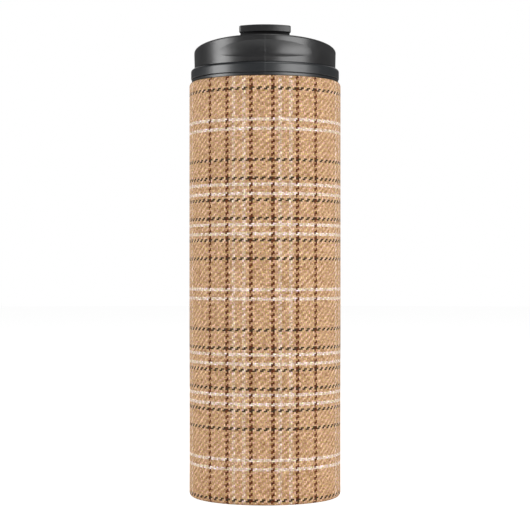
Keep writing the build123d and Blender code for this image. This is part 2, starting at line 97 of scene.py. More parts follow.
# Radius of the circle that the brush lines' noise is read on.
BRUSH_CIRCLE = 1.6

TABLE_RADIUS, TABLE_SIDES = 4.0, 96
SENSOR_WIDTH_MM = 36.0
WHITE = (1.0, 1.0, 1.0, 1.0)
# Each softbox: degrees round from the camera's side, distance and height of its middle, and its size.
SOFTBOXES = {
    "left": (-73, 1.1, 0.35, (0.6, 0.6)),
    "right": (46, 1.1, 0.35, (0.92, 0.6)),
    "top": (60, 0.45, 1.3, (0.8, 0.8)),
    "back": (180, 0.9, 0.8, (0.9, 0.9)),
}


def linear(red, green, blue):
    """A display colour, 0 to 255 a channel, as the linear colour that shaders take."""
    channels = (value / 255 for value in (red, green, blue))
    return tuple(c / 12.92 if c <= 0.04045 else ((c + 0.055) / 1.055) ** 2.4 for c in channels)


def opaque(rgb):
    """A colour with full alpha, as a colour socket takes it."""
    return (*rgb, 1.0)


def toned(rgb, gain, lift=0.0):
    """A colour made lighter or darker, with full alpha."""
    return opaque(min(1.0, channel * gain + lift) for channel in rgb)


# ---------------------------------------------------------------- settings


def length(name, description, default):
    """A property for a length in metres."""
    return FloatProperty(name=name, description=description, default=default, unit="LENGTH", precision=5)


def share(name, description, default):
    """A property for a part of one, 0 to 1."""
    return FloatProperty(name=name, description=description, default=default, min=0.0, max=1.0)


def angle(name, description, degrees):
    """A property for an angle, given in degrees and held in radians."""
    return FloatProperty(name=name, description=description, default=math.radians(degrees), subtype="ANGLE")


def power(name, default):
    """A property for a light's power."""
    return FloatProperty(name=name, description="Power in watts", default=default, subtype="POWER")


def colour(name, description, red, green, blue):
    """A property for a surface colour, given as it is seen."""
    return FloatVectorProperty(
        name=name,
        description=description,
        default=linear(red, green, blue),
        size=3,
        min=0.0,
        max=1.0,
        subtype="COLOR",
    )


class FlaskWrapSettings(PropertyGroup):
    corner: length("Base corner", "Outside radius of the wrap round the base corner", 2.0 * MM)
    shoulder: length("Mouth corner", "Outside radius of the wrap at the rolled mouth", 2.1 * MM)
    shoulder_turn: angle("Mouth turn", "How far the wrap goes round the rolled mouth", 60)
    seam_gap: length("Seam gap", "Gap between the cloth's edges where they butt at the back", 0.25 * MM)
    columns: IntProperty(name="Columns", description="Mesh columns round the body", default=288, min=24)
    warp_yarn: length("Warp yarn", "Width of one upright yarn", 0.827 * MM)
    weft_yarn: length("Weft yarn", "Width of one level yarn", 0.6975 * MM)
    sett_across: length("Sett across", "Middle of the plaid from the front centre line", -1.4 * MM)
    sett_height: length("Sett height", "Middle of the plaid above the standing surface", 133.6 * MM)
    half_sett: IntProperty(name="Half sett", description="Yarns from one mirror line to the next", default=55)
    warp_ground: colour("Warp ground", "Upright yarns between the stripes", 220, 183, 143)
    weft_ground: colour("Weft ground", "Level yarns between the stripes", 196, 153, 111)
    warp_stripe: colour("Warp stripe", "Rust-brown upright stripes", 98, 48, 24)
    weft_stripe: colour("Weft stripe", "Dark brown level stripes", 70, 54, 36)
    warp_light: colour("Warp light", "Cream upright stripes", 232, 208, 182)
    weft_light: colour("Weft light", "Cream level stripes", 240, 222, 204)
    warp_show_through: share(
        "Warp show-through", "How far a cream upright yarn lightens what passes over it", 0.3
    )
    weft_show_through: share(
        "Weft show-through", "How far a cream level yarn lightens what passes over it", 0.55
    )


class FlaskLidSettings(PropertyGroup):
    cap: colour("Cap", "Charcoal of the sloping cap", 30, 30, 31)
    collar: colour("Collar", "Slightly bluish charcoal of the collar", 28, 31, 34)
    lever: colour("Lever", "Black of the flip lever", 28, 28, 29)
    plug: colour("Plug", "Black of the screw plug and its drink channel", 30, 30, 31)
    silicone: colour("Silicone", "Dark grey of the gasket and the seals", 62, 63, 66)
    grain: length("Grain", "Size of the spark-eroded grain on the mouldings", 0.28 * MM)
    parting_line: length("Parting line", "Width of the mould's parting line", 0.12 * MM)


class FlaskVesselSettings(PropertyGroup):
    steel: colour("Steel", "Stainless steel", 196, 194, 190)
    brushing: length("Brushing", "Spacing of the turned brush lines", 0.09 * MM)
    foil: colour("Foil", "Heat-shield foil", 222, 222, 224)
    getter: colour("Getter", "Sintered getter pellet", 92, 92, 96)
    bead: colour("Seal bead", "Solder-glass bead", 120, 116, 108)
    rubber: colour("Foot rubber", "Rubber of the foot pad", 34, 34, 35)


class FlaskStageSettings(PropertyGroup):
    camera_distance: length("Camera distance", "From the flask's axis to the lens", 0.7719)
    camera_height: length("Camera height", "Lens above the standing surface", 0.1065)
    lens: FloatProperty(name="Lens", description="Focal length", default=111.4, unit="CAMERA")
    pitch: angle("Pitch", "Camera's upward tilt", 0.15)
    left_power: power("Left softbox", 7.0)
    right_power: power("Right softbox", 7.8)
    top_power: power("Top softbox", 4.6)
    back_power: power("Back softbox", 2.6)
    sky: share("Sky", "Strength of the even light all round", 0.14)
    table_glow: share("Table glow", "How far the table top is lifted to white", 0.85)


# ---------------------------------------------------------------- node helpers


def set_inputs(tree, node, inputs):
    """Fills a node's inputs. inputs maps a socket's name or number to a value or to another node's output."""
    for key, value in inputs.items():
        if isinstance(value, bpy.types.NodeSocket):
            tree.links.new(value, node.inputs[key])
        else:
            node.inputs[key].default_value = value


def add_node(tree, kind, inputs=None, **settings):
    """Adds a node, with its settings and inputs."""
    node = tree.nodes.new(kind)
    for name, value in settings.items():
        setattr(node, name, value)
    set_inputs(tree, node, inputs or {})
    return node


def calc(tree, operation, *values, clamp=False):
    """A Math node's result."""
    inputs = dict(enumerate(values))
    return add_node(tree, "ShaderNodeMath", inputs, operation=operation, use_clamp=clamp).outputs[0]


def vector_calc(tree, operation, *values):
    """A Vector Math node's vector."""
    return add_node(tree, "ShaderNodeVectorMath", dict(enumerate(values)), operation=operation).outputs[0]


def remap(tree, value, low, high, to_low=0.0, to_high=1.0):
    """value, carried from low..high to to_low..to_high and held there."""
    inputs = {"Value": value, "From Min": low, "From Max": high, "To Min": to_low, "To Max": to_high}
    return add_node(tree, "ShaderNodeMapRange", inputs).outputs[0]


def mix_colours(tree, factor, first, second, blend="MIX"):
    """first and second, blended by factor."""
    inputs = {0: factor, 6: first, 7: second}
    return add_node(tree, "ShaderNodeMix", inputs, data_type="RGBA", blend_type=blend).outputs[2]


def multiplied(tree, first, second):
    """One colour times the other."""
    return mix_colours(tree, 1.0, first, second, "MULTIPLY")


def mix_numbers(tree, factor, first, second):
    """The same blend for plain numbers."""
    return add_node(tree, "ShaderNodeMix", {0: factor, 2: first, 3: second}).outputs[0]


def noise(tree, place, scale, detail, roughness=0.5):
    """A Noise Texture's value, which keeps mostly to 0.3 to 0.7."""
    inputs = {"Vector": place, "Scale": scale, "Detail": detail, "Roughness": roughness}
    return add_node(tree, "ShaderNodeTexNoise", inputs).outputs[0]


def new_group(name, kind, inputs, outputs):
    """A node group with named sockets. inputs and outputs hold (name, socket type, default)."""
    group = bpy.data.node_groups.new(name, kind)
    for in_out, sockets in (("INPUT", inputs), ("OUTPUT", outputs)):
        for label, socket_type, default in sockets:
            socket = group.interface.new_socket(label, in_out=in_out, socket_type=socket_type)
            if default is not None:
                socket.default_value = default
    return group, group.nodes.new("NodeGroupInput"), group.nodes.new("NodeGroupOutput")


def use_group(tree, group, inputs):
    """A shader node group, placed in a material with its own values."""
    return add_node(tree, "ShaderNodeGroup", inputs, node_tree=group)


def new_material(name):
    """An empty material with a Principled BSDF. Gives the material, its tree and the shader."""
    material = bpy.data.materials.new(name)
    material.use_nodes = True
    tree = material.node_tree
    return material, tree, tree.nodes["Principled BSDF"]


def object_place(tree):
    """Place on the piece, in metres."""
    return tree.nodes.new("ShaderNodeTexCoord").outputs["Object"]


def bump(tree, height, strength, distance, normal=None):
    """A Bump node's normal, laid over another one if given."""
    inputs = {"Height": height, "Strength": strength, "Distance": distance}
    if normal is not None:
        inputs["Normal"] = normal
    return add_node(tree, "ShaderNodeBump", inputs).outputs[0]


# ---------------------------------------------------------------- shared effects


def once(build):
    """Keeps what a builder makes, so that each group is built a single time."""
    made = []

    def give():
        if not made:
            made.append(build())
        return made[0]

    return give


@once
def twill_weave():
    """Two-over, two-under twill on a flat cloth, rising to the right. Place is in yarns."""
    group, start, end = new_group(
        "Twill Weave",
        "ShaderNodeTree",
        [("Warp Place", "NodeSocketFloat", 0.0), ("Weft Place", "NodeSocketFloat", 0.0)],
        [
            ("Warp On Top", "NodeSocketFloat", None),
            ("Height", "NodeSocketFloat", None),
            ("Warp Yarn", "NodeSocketFloat", None),
            ("Weft Yarn", "NodeSocketFloat", None),
        ],
    )
    warp, weft = start.outputs["Warp Place"], start.outputs["Weft Place"]
    column, row = calc(group, "FLOOR", warp), calc(group, "FLOOR", weft)
    across_warp, across_weft = calc(group, "FRACT", warp), calc(group, "FRACT", weft)
    diagonal = calc(group, "ADD", calc(group, "SUBTRACT", column, row), TWILL_OVER)
    step = calc(group, "FLOORED_MODULO", diagonal, 2 * TWILL_OVER)
    on_top = calc(group, "LESS_THAN", step, TWILL_OVER - 0.5)

    def yarn_height(across, steps_in, along):
        """Height of the top yarn, from its place across and how far along its float this is."""
        along_float = calc(group, "MULTIPLY", calc(group, "ADD", steps_in, along), 1 / TWILL_OVER)
        across_arc = calc(group, "SINE", calc(group, "MULTIPLY", across, math.pi))
        crown = calc(group, "POWER", across_arc, YARN_ROUNDNESS)
        arch = calc(group, "SINE", calc(group, "MULTIPLY", along_float, math.pi))
        return calc(group, "MULTIPLY", crown, calc(group, "MULTIPLY_ADD", arch, YARN_ARCH, 1 - YARN_ARCH))

    weft_height = yarn_height(across_weft, calc(group, "SUBTRACT", step, TWILL_OVER), across_warp)
    warp_height = yarn_height(across_warp, calc(group, "SUBTRACT", TWILL_OVER - 1, step), across_weft)
    results = {
        "Warp On Top": on_top,
        "Height": mix_numbers(group, on_top, weft_height, warp_height),
        "Warp Yarn": calc(group, "ADD", column, 0.5),
        "Weft Yarn": calc(group, "ADD", row, 0.5),
    }
    set_inputs(group, end, results)
    return group


@once
def mould_grain():
    """Spark-eroded grain of a plastic moulding, with faint handling marks in its gloss."""
    group, start, end = new_group(
        "Mould Grain",
        "ShaderNodeTree",
        [("Place", "NodeSocketVector", None), ("Grain Size", "NodeSocketFloat", 0.3 * MM)],
        [("Height", "NodeSocketFloat", None), ("Marks", "NodeSocketFloat", None)],
    )
    place = start.outputs["Place"]
    fine_scale = calc(group, "DIVIDE", 1.0, start.outputs["Grain Size"])
    fine = noise(group, place, fine_scale, 3.0, 0.6)
    marks = noise(group, place, 90.0, 4.0, 0.65)
    set_inputs(group, end, {"Height": fine, "Marks": remap(group, marks, 0.35, 0.7)})
    return group


@once
def turned_brushing():
    """Fine lines round the Z axis, as spinning and brushing leave on a steel wall or bottom."""
    group, start, end = new_group(
        "Turned Brushing",
        "ShaderNodeTree",
        [("Place", "NodeSocketVector", None), ("Spacing", "NodeSocketFloat", 0.09 * MM)],
        [("Lines", "NodeSocketFloat", None), ("Bands", "NodeSocketFloat", None)],
    )
    place = start.outputs["Place"]
    x, y, z = add_node(group, "ShaderNodeSeparateXYZ", {0: place}).outputs
    radius_squared = calc(group, "ADD", calc(group, "MULTIPLY", x, x), calc(group, "MULTIPLY", y, y))
    radius = calc(group, "SQRT", radius_squared)
    sweep = calc(group, "ARCTAN2", y, x)
    ring = calc(group, "DIVIDE", calc(group, "ADD", radius, z), start.outputs["Spacing"])
    # The noise is read on a circle, so that the lines change slowly round the piece and meet themselves.
    lines_at = {
        0: calc(group, "MULTIPLY", calc(group, "SINE", sweep), BRUSH_CIRCLE),
        1: calc(group, "MULTIPLY", calc(group, "COSINE", sweep), BRUSH_CIRCLE),
        2: ring,
    }
    lines = noise(group, add_node(group, "ShaderNodeCombineXYZ", lines_at).outputs[0], 1.0, 4.0)
    set_inputs(group, end, {"Lines": lines, "Bands": noise(group, place, 60.0, 2.0)})
    return group


# ---------------------------------------------------------------- materials


def stripe_ramp(tree, yarn, half_sett, ground, stripe, light):
    """Colour of a yarn from its number, counted from the sett's middle and mirrored about each end.

    The other results are 1 on the light stripes and 1 on the ground."""
    folded = calc(tree, "PINGPONG", yarn, float(half_sett))
    ramp = add_node(tree, "ShaderNodeValToRGB", {0: calc(tree, "DIVIDE", folded, float(half_sett))})
    ramp.color_ramp.interpolation = "CONSTANT"
    stops = ramp.color_ramp.elements
    stops[0].color = (*ground, GROUND_MARK)
    stops.remove(stops[1])
    for centre, is_light in SETT_STRIPES:
        stripe_colour = (*light, LIGHT_MARK) if is_light else (*stripe, STRIPE_MARK)
        stops.new((centre - STRIPE_HALF_WIDTH) / half_sett).color = stripe_colour
        stops.new((centre + STRIPE_HALF_WIDTH) / half_sett).color = (*ground, GROUND_MARK)
    mark = ramp.outputs["Alpha"]
    on_light = calc(tree, "GREATER_THAN", mark, (STRIPE_MARK + LIGHT_MARK) / 2)
    on_ground = calc(tree, "LESS_THAN", mark, (GROUND_MARK + STRIPE_MARK) / 2)
    return ramp.outputs["Color"], on_light, on_ground


def plaid_twill(wrap):
    """The wrap's cloth: wool-like twill whose yarn colours make the plaid, read from the cloth's own map."""
    material, tree, shader = new_material("plaid_twill")
    thread = add_node(tree, "ShaderNodeAttribute", attribute_name="thread").outputs["Vector"]
    drift = add_node(tree, "ShaderNodeTexNoise", {"Vector": thread, "Scale": 0.35, "Detail": 2.0})
    # The yarns wander by up to a quarter of a millimetre.
    centred = vector_calc(tree, "ADD", drift.outputs["Color"], (-0.5, -0.5, -0.5))
    drawn = vector_calc(tree, "ADD", thread, vector_calc(tree, "MULTIPLY", centred, (0.5, 0.5, 0.5)))
    across, up, _ = add_node(tree, "ShaderNodeSeparateXYZ", {0: drawn}).outputs

    def in_yarns(place, middle, yarn_width):
        """A place in millimetres as a count of yarns from the sett's middle."""
        return calc(tree, "DIVIDE", calc(tree, "SUBTRACT", place, middle / MM), yarn_width / MM)

    places = {
        "Warp Place": in_yarns(across, wrap.sett_across, wrap.warp_yarn),
        "Weft Place": in_yarns(up, wrap.sett_height, wrap.weft_yarn),
    }
    weave = use_group(tree, twill_weave(), places)
    warp_yarn, weft_yarn = weave.outputs["Warp Yarn"], weave.outputs["Weft Yarn"]
    warp_on_top = weave.outputs["Warp On Top"]
    warp_colour, warp_is_light, warp_is_ground = stripe_ramp(
        tree, warp_yarn, wrap.half_sett, wrap.warp_ground, wrap.warp_stripe, wrap.warp_light
    )
    weft_colour, weft_is_light, weft_is_ground = stripe_ramp(
        tree, weft_yarn, wrap.half_sett, wrap.weft_ground, wrap.weft_stripe, wrap.weft_light
    )

    def lightened(over, over_is_ground, under_is_light, amount, light):
        """A ground yarn's colour where a cream yarn shows from under it."""
        showing = calc(tree, "MULTIPLY", calc(tree, "MULTIPLY", under_is_light, over_is_ground), amount)
        return mix_colours(tree, showing, over, opaque(light))

    warp_over = lightened(
        warp_colour, warp_is_ground, weft_is_light, wrap.weft_show_through, wrap.weft_light
    )
    weft_over = lightened(
        weft_colour, weft_is_ground, warp_is_light, wrap.warp_show_through, wrap.warp_light
    )
    yarn_colour = mix_colours(tree, warp_on_top, weft_over, warp_over)

    def uneven(yarn, along, seed):
        """Light and dark lengths along one yarn, different in each."""
        at = {0: calc(tree, "MULTIPLY", yarn, 3.7), 1: calc(tree, "MULTIPLY", along, 0.55), 2: seed}
        return noise(tree, add_node(tree, "ShaderNodeCombineXYZ", at).outputs[0], 1.0, 3.0, 0.7)

    mottle = mix_numbers(tree, warp_on_top, uneven(weft_yarn, across, 11.0), uneven(warp_yarn, up, 4.0))
    lengths = mix_colours(tree, remap(tree, mottle, 0.35, 0.65), opaque(DARK_LENGTH), opaque(PALE_LENGTH))
    dye = noise(tree, thread, 1.1, 3.0, 0.8)
    hue = mix_colours(tree, remap(tree, dye, 0.38, 0.62), opaque(PINK_DYE), opaque(STRAW_DYE))
    mottled = multiplied(tree, multiplied(tree, yarn_colour, lengths), hue)
    # Painted shade and highlight: the yarn colour is darkened where the weave sinks between yarns and lifted
    # a little on their crowns, standing in for the shade and light the weave itself would catch.
    painted_yarn_shade = remap(tree, weave.outputs["Height"], 0.0, 0.7, 0.62, 1.06)
    grey = add_node(tree, "ShaderNodeCombineColor", {0: painted_yarn_shade, 1: painted_yarn_shade, 2: painted_yarn_shade}).outputs[0]

    fibre = noise(tree, thread, 9.0, 3.0, 0.7)
    relief = calc(tree, "MULTIPLY_ADD", fibre, 0.25, weave.outputs["Height"])
    finish = {
        "Base Color": multiplied(tree, mottled, grey),
        "Roughness": remap(tree, fibre, 0.3, 0.7, 0.82, 0.97),
        "Normal": bump(tree, relief, 0.7, 0.12 * MM),
        "Specular IOR Level": 0.2,
        "Sheen Weight": 0.03,
        "Sheen Roughness": 0.5,
        "Sheen Tint": opaque(linear(240, 220, 196)),
    }
    set_inputs(tree, shader, finish)
    return material


def charcoal_moulding(name, charcoal, lid, roughness, grain_depth=FINE_GRAIN, parting=0.0):
    """Satin moulded plastic with grain. parting draws the mould's parting line down the drinking side."""
    material, tree, shader = new_material(name)
    place = object_place(tree)
    grain = use_group(tree, mould_grain(), {"Place": place, "Grain Size": lid.grain})
    marks = grain.outputs["Marks"]
    base = mix_colours(tree, marks, opaque(charcoal), toned(charcoal, 1.12, 0.0015))
    normal = bump(tree, grain.outputs["Height"], 0.35, grain_depth)
    if parting:
        x, y, _ = add_node(tree, "ShaderNodeSeparateXYZ", {0: place}).outputs
        beside = calc(tree, "ABSOLUTE", x)
        in_line = remap(tree, beside, lid.parting_line * 0.5, lid.parting_line, 1.0, 0.0)
        line = calc(tree, "MULTIPLY", in_line, calc(tree, "LESS_THAN", y, CAP_LOW.y * PARTING_REACH))
        base = mix_colours(tree, calc(tree, "MULTIPLY", line, parting), base, opaque(linear(96, 98, 100)))
        normal = bump(tree, line, 0.5, 0.05 * MM, normal)
    finish = {
        "Base Color": base,
        "Roughness": remap(tree, marks, 0.0, 1.0, roughness - 0.02, roughness + 0.05),
        "Normal": normal,
        "Specular IOR Level": 0.85,
    }
    set_inputs(tree, shader, finish)
    return material


def dark_silicone(lid):
    """Satin silicone with a faint dusty bloom."""
    material, tree, shader = new_material("dark_silicone")
    grain = use_group(tree, mould_grain(), {"Place": object_place(tree), "Grain Size": 0.5 * MM})
    marks = grain.outputs["Marks"]
    finish = {
        "Base Color": mix_colours(tree, marks, opaque(lid.silicone), toned(lid.silicone, 1.35, 0.004)),
        "Roughness": remap(tree, marks, 0.0, 1.0, 0.48, 0.6),
        "Normal": bump(tree, grain.outputs["Height"], 0.2, 0.02 * MM),
        "Specular IOR Level": 0.4,
    }
    set_inputs(tree, shader, finish)
    return material


def spun_steel(name, vessel, roughness):
    """Stainless steel with turned brush lines."""
    material, tree, shader = new_material(name)
    places = {"Place": object_place(tree), "Spacing": vessel.brushing}
    brushing = use_group(tree, turned_brushing(), places)
    lines, bands = brushing.outputs["Lines"], brushing.outputs["Bands"]
    smoothness = remap(tree, bands, 0.3, 0.7, roughness - 0.1, roughness)
    finish = {
        "Base Color": mix_colours(
            tree, remap(tree, lines, 0.3, 0.7), toned(vessel.steel, 0.84), opaque(vessel.steel)
        ),
        "Roughness": calc(tree, "MULTIPLY_ADD", lines, 0.16, smoothness),
        "Normal": bump(tree, lines, 0.25, 0.012 * MM),
        "Metallic": 1.0,
    }
    set_inputs(tree, shader, finish)
    return material


def crinkled_foil(vessel):
    """Thin aluminium foil with hand-smoothed creases."""
    material, tree, shader = new_material("crinkled_foil")
    place = object_place(tree)
    creases = add_node(
        tree, "ShaderNodeTexVoronoi", {"Vector": place, "Scale": 190.0}, feature="DISTANCE_TO_EDGE"
    ).outputs[0]
    dents = noise(tree, place, 120.0, 3.0)
    height = calc(tree, "MULTIPLY_ADD", remap(tree, creases, 0.0, 0.12), 0.6, dents)
    finish = {
        "Base Color": mix_colours(tree, dents, toned(vessel.foil, 0.9), opaque(vessel.foil)),
        "Roughness": remap(tree, dents, 0.3, 0.7, 0.18, 0.34),
        "Normal": bump(tree, height, 0.5, 0.1 * MM),
        "Metallic": 1.0,
    }
    set_inputs(tree, shader, finish)
    return material


def sintered_getter(vessel):
    """Pressed metal powder, dull and speckled."""
    material, tree, shader = new_material("sintered_getter")
    specks = noise(tree, object_place(tree), 4200.0, 2.0, 0.8)
    finish = {
        "Base Color": mix_colours(
            tree, remap(tree, specks, 0.35, 0.65), toned(vessel.getter, 0.55), opaque(vessel.getter)
        ),
        "Roughness": remap(tree, specks, 0.3, 0.7, 0.55, 0.75),
        "Normal": bump(tree, specks, 0.6, 0.05 * MM),
        "Metallic": 0.6,
    }
    set_inputs(tree, shader, finish)
    return material


def solder_glass(vessel):
    """Opaque solder glass with small bubbles under a fired gloss."""
    material, tree, shader = new_material("solder_glass")
    bubbles = add_node(tree, "ShaderNodeTexVoronoi", {"Vector": object_place(tree), "Scale": 2600.0})
    mask = remap(tree, bubbles.outputs["Distance"], 0.05, 0.3)
    finish = {
        "Base Color": mix_colours(tree, mask, toned(vessel.bead, 0.6), opaque(vessel.bead)),
        "Roughness": remap(tree, mask, 0.0, 1.0, 0.3, 0.14),
        "Normal": bump(tree, mask, 0.3, 0.03 * MM),
    }
    set_inputs(tree, shader, finish)
    return material


def foot_rubber(vessel):
    """Matt rubber with moulded rings under the foot and a little pale dust."""
    material, tree, shader = new_material("foot_rubber")
    place = object_place(tree)
    x, y, _ = add_node(tree, "ShaderNodeSeparateXYZ", {0: place}).outputs
    flat = add_node(tree, "ShaderNodeCombineXYZ", {0: x, 1: y}).outputs[0]
    radius = add_node(tree, "ShaderNodeVectorMath", {0: flat}, operation="LENGTH").outputs["Value"]
    wave = calc(tree, "SINE", calc(tree, "MULTIPLY", radius, 2 * math.pi / FOOT_RING_PITCH))
    rings = calc(tree, "MULTIPLY", remap(tree, wave, -0.4, 0.4), remap(tree, radius, 6 * MM, 7 * MM))
    grain = use_group(tree, mould_grain(), {"Place": place, "Grain Size": 0.35 * MM})
    marks = grain.outputs["Marks"]
    fine = bump(tree, grain.outputs["Height"], 0.4, 0.04 * MM)
    finish = {
        "Base Color": mix_colours(tree, marks, opaque(vessel.rubber), toned(vessel.rubber, 1.6, 0.008)),
        "Roughness": remap(tree, marks, 0.0, 1.0, 0.72, 0.88),
        "Normal": bump(tree, rings, 0.8, 0.2 * MM, fine),
        "Specular IOR Level": 0.3,
    }
    set_inputs(tree, shader, finish)
    return material


def seen_directly(tree, otherwise, seen):
    """A strength that differs where the camera looks straight at the thing."""
    is_camera_ray = tree.nodes.new("ShaderNodeLightPath").outputs["Is Camera Ray"]
    return remap(tree, is_camera_ray, 0.0, 1.0, otherwise, seen)


def pale_floor(glow):
    """Near-white top of a shooting table. glow lifts it to white for the camera and lights nothing."""
    material, tree, shader = new_material("pale_floor")
    fibres = noise(tree, object_place(tree), 300.0, 3.0)
    finish = {
        "Base Color": mix_colours(tree, fibres, opaque((0.87, 0.87, 0.87)), opaque((0.9, 0.9, 0.9))),
        "Roughness": 0.9,
        "Emission Color": WHITE,
        "Emission Strength": seen_directly(tree, 0.0, glow),
    }
    set_inputs(tree, shader, finish)
    return material


# ---------------------------------------------------------------- meshes


@once
def wrapped_cloth():
    """Geometry nodes: a cloth wound round an upright body, turned in at the base and at the mouth."""
    lengths = ["Radius", "Foot", "Straight Top", "Base Corner", "Mouth Corner", "Seam Gap"]
    group, start, end = new_group(
        "Wrapped Cloth",
        "GeometryNodeTree",
        [("Geometry", "NodeSocketGeometry", None)]
        + [(name, "NodeSocketFloat", 0.01) for name in lengths]
        + [("Mouth Turn", "NodeSocketFloat", 1.0)]
        + [(name, "NodeSocketInt", 8) for name in ("Columns", "Base Rows", "Wall Rows", "Mouth Rows")]
        + [("Material", "NodeSocketMaterial", None)],
        [("Geometry", "NodeSocketGeometry", None)],
    )
    value = start.outputs
    rows = calc(group, "ADD", calc(group, "ADD", value["Base Rows"], value["Wall Rows"]), value["Mouth Rows"])
    grid = add_node(
        group,
        "GeometryNodeMeshGrid",
        {
            "Size X": 1.0,
            "Size Y": 1.0,
            "Vertices X": calc(group, "ADD", value["Columns"], 1.0),
            "Vertices Y": calc(group, "ADD", rows, 1.0),
        },
    )
    position = add_node(group, "GeometryNodeInputPosition").outputs[0]
    turn_share, row_share, _ = add_node(group, "ShaderNodeSeparateXYZ", {0: position}).outputs
    row = calc(group, "MULTIPLY", calc(group, "ADD", row_share, 0.5), rows)

    def passed(before, count):
        """How much of one stretch of rows lies below this row, 0 to 1."""
        return calc(group, "DIVIDE", calc(group, "SUBTRACT", row, before), count, clamp=True)

    base_angle = calc(group, "MULTIPLY", passed(0.0, value["Base Rows"]), math.pi / 2)
    wall = passed(value["Base Rows"], value["Wall Rows"])
    mouth_from = calc(group, "ADD", value["Base Rows"], value["Wall Rows"])
    mouth_angle = calc(group, "MULTIPLY", passed(mouth_from, value["Mouth Rows"]), value["Mouth Turn"])

    wall_low = calc(group, "ADD", value["Foot"], value["Base Corner"])
    wall_length = calc(group, "SUBTRACT", value["Straight Top"], wall_low)
    wall_at = calc(group, "MULTIPLY_ADD", wall, wall_length, wall_low)
    base_reach = calc(group, "SUBTRACT", 1.0, calc(group, "SINE", base_angle))
    mouth_reach = calc(group, "SUBTRACT", 1.0, calc(group, "COSINE", mouth_angle))
    base_in = calc(group, "MULTIPLY", value["Base Corner"], base_reach)
    mouth_in = calc(group, "MULTIPLY", value["Mouth Corner"], mouth_reach)
    radius = calc(group, "SUBTRACT", calc(group, "SUBTRACT", value["Radius"], base_in), mouth_in)
    base_drop = calc(group, "MULTIPLY", value["Base Corner"], calc(group, "COSINE", base_angle))
    mouth_rise = calc(group, "MULTIPLY", value["Mouth Corner"], calc(group, "SINE", mouth_angle))
    height = calc(group, "ADD", calc(group, "SUBTRACT", wall_at, base_drop), mouth_rise)
    seam_angle = calc(group, "DIVIDE", value["Seam Gap"], value["Radius"])
    sweep = calc(group, "MULTIPLY", turn_share, calc(group, "SUBTRACT", 2 * math.pi, seam_angle))
    forwards = calc(group, "MULTIPLY", calc(group, "COSINE", sweep), -1.0)
    wound_at = {
        0: calc(group, "MULTIPLY", radius, calc(group, "SINE", sweep)),
        1: calc(group, "MULTIPLY", radius, forwards),
        2: height,
    }
    wound = add_node(group, "ShaderNodeCombineXYZ", wound_at)

    # The cloth's own map: place on the flat cloth in millimetres, which the weave is read from.
    base_arc = calc(group, "MULTIPLY", value["Base Corner"], calc(group, "SUBTRACT", math.pi / 2, base_angle))
    mouth_arc = calc(group, "MULTIPLY", value["Mouth Corner"], mouth_angle)
    along = calc(group, "ADD", calc(group, "SUBTRACT", wall_at, base_arc), mouth_arc)
    thread_at = {
        0: calc(group, "MULTIPLY", calc(group, "MULTIPLY", sweep, value["Radius"]), 1 / MM),
        1: calc(group, "MULTIPLY", along, 1 / MM),
    }
    thread = add_node(group, "ShaderNodeCombineXYZ", thread_at)
    threaded = add_node(
        group,
        "GeometryNodeStoreNamedAttribute",
        {"Geometry": grid.outputs["Mesh"], "Name": "thread", "Value": thread.outputs[0]},
        data_type="FLOAT_VECTOR",
        domain="POINT",
    )
    mapped = add_node(
        group,
        "GeometryNodeStoreNamedAttribute",
        {"Geometry": threaded.outputs[0], "Name": "UVMap", "Value": grid.outputs["UV Map"]},
        data_type="FLOAT2",
        domain="CORNER",
    )
    placed = add_node(
        group, "GeometryNodeSetPosition", {"Geometry": mapped.outputs[0], "Position": wound.outputs[0]}
    )
    smooth = add_node(group, "GeometryNodeSetShadeSmooth", {"Geometry": placed.outputs[0]})
    real = add_node(group, "GeometryNodeRealizeInstances", {0: smooth.outputs[0]})
    dressed = add_node(
        group, "GeometryNodeSetMaterial", {"Geometry": real.outputs[0], "Material": value["Material"]}
    )
    group.links.new(dressed.outputs[0], end.inputs[0])
    return group


def new_object(name, data):
    """An object in the scene, for a mesh, a light or a camera."""
    piece = bpy.data.objects.new(name, data)
    bpy.context.scene.collection.objects.link(piece)
    return piece


def grow_from_nodes(name, group, inputs, thickness):
    """A plain mesh object made by a geometry-nodes group and thickened inwards."""
    source = new_object(name + "_source", bpy.data.meshes.new(name + "_source"))
    modifier = source.modifiers.new("nodes", "NODES")
    modifier.node_group = group
    sockets = {item.name: item.identifier for item in group.interface.items_tree if item.in_out == "INPUT"}
    for label, value in inputs.items():
        modifier[sockets[label]] = value
    wall = source.modifiers.new("wall", "SOLIDIFY")
    wall.thickness = thickness
    wall.offset = -1.0
    wall.use_even_offset = True
    source.update_tag()
    evaluated = source.evaluated_get(bpy.context.evaluated_depsgraph_get())
    mesh = bpy.data.meshes.new_from_object(evaluated)
    mesh.name = name
    bpy.data.objects.remove(source)
    return new_object(name, mesh)


def dress(node, material):
    """Gives a CAD node its finish."""
    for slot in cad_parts[node].material_slots:
        slot.material = material


# ---------------------------------------------------------------- operators


class FLASK_OT_wrap_body(Operator):
    """Winds the plaid twill cloth round the steel body"""

    bl_idname = "flask.wrap_body"
    bl_label = "Wrap the body"

    def execute(self, context):
        wrap = context.scene.flask_wrap
        inputs = {
            "Radius": WRAP_HIGH.x,
            "Foot": WRAP_LOW.z,
            "Straight Top": SHELL_HIGH.z - (wrap.shoulder - WRAP_THICKNESS),
            "Base Corner": wrap.corner,
            "Mouth Corner": wrap.shoulder,
            "Mouth Turn": wrap.shoulder_turn,
            "Seam Gap": wrap.seam_gap,
            "Columns": wrap.columns,
            "Base Rows": BASE_ROWS,
            "Wall Rows": WALL_ROWS,
            "Mouth Rows": MOUTH_ROWS,
            "Material": plaid_twill(wrap),
        }
        cloth = grow_from_nodes("plaid_wrap", wrapped_cloth(), inputs, WRAP_THICKNESS)
        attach(cloth, "flask")
        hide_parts("woven_wrap")
        return {"FINISHED"}


